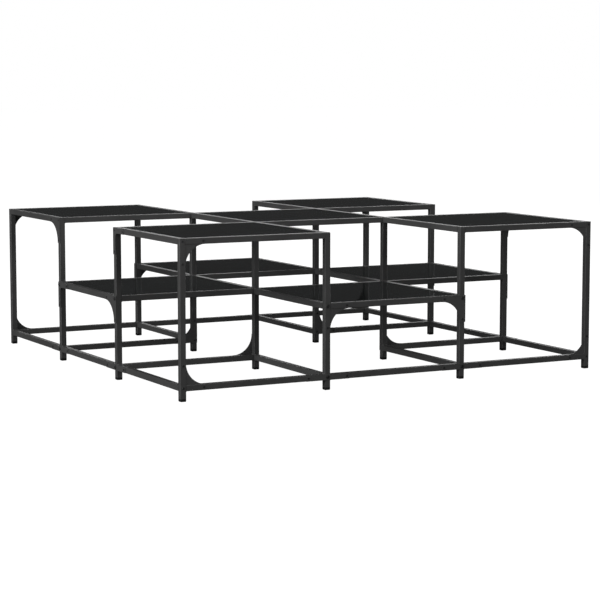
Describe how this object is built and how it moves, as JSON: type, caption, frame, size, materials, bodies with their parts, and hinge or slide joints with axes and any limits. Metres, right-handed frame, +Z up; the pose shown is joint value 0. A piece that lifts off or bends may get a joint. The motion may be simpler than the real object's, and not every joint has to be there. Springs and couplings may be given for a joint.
{
  "type": "coffee table",
  "caption": "Low square coffee table on a slim black tube frame, with high black glass tops at the corners and centre and lower glass shelves between them.",
  "frame": {"origin": "on the floor, at the centre of the table's square plan", "axes": "+X to the right, +Y to the back, +Z up; the tubes run along all three"},
  "size_m": [1.0386, 1.0386, 0.34],
  "materials": {
    "frame": "satin black powder coat",
    "bracket": "satin black powder coat",
    "glass": "glossy black tempered glass, opaque",
    "foot": "moulded black plastic",
    "bolt": "black zinc",
    "insert": "zinc-plated steel",
    "pad": "translucent soft pad"
  },
  "bodies": {
    "root": {"post_front_1": "frame", "post_front_2": "frame", "post_front_3": "frame", "post_front_4": "frame", "post_mid_front_1": "frame", "post_mid_front_2": "frame", "post_mid_front_3": "frame", "post_mid_front_4": "frame", "post_mid_back_1": "frame", "post_mid_back_2": "frame", "post_mid_back_3": "frame", "post_mid_back_4": "frame", "post_back_1": "frame", "post_back_2": "frame", "post_back_3": "frame", "post_back_4": "frame", "glass_front_left": "glass", "glass_front_middle": "glass", "glass_front_right": "glass", "glass_middle_left": "glass", "glass_centre": "glass", "glass_middle_right": "glass", "glass_back_left": "glass", "glass_back_middle": "glass", "glass_back_right": "glass", "glass_frame_front_left": "frame", "glass_frame_front_middle": "frame", "glass_frame_front_right": "frame", "glass_frame_middle_left": "frame", "glass_frame_centre": "frame", "glass_frame_middle_right": "frame", "glass_frame_back_left": "frame", "glass_frame_back_middle": "frame", "glass_frame_back_right": "frame", "floor_frame_front_left": "frame", "floor_frame_front_right": "frame", "floor_frame_back_left": "frame", "floor_frame_back_right": "frame", "floor_rail_front": "frame", "floor_rail_back": "frame", "floor_rail_left": "frame", "floor_rail_right": "frame", "gussets_top_corners": "bracket", "brackets_top_sides": "bracket", "short_brackets_top": "bracket", "gussets_shelf": "bracket", "winged_brackets_shelf": "bracket", "brackets_shelf_sides": "bracket", "short_brackets_shelf": "bracket", "gussets_floor_corners": "bracket", "brackets_floor_inner": "bracket", "joint_plates_floor": "bracket", "bolts": "bolt", "bracket_screws": "bolt", "rail_inserts": "insert", "glass_tabs_top": "frame", "glass_tabs_shelf": "frame", "glass_pads": "pad", "feet": "foot"}
  },
  "joints": []
}
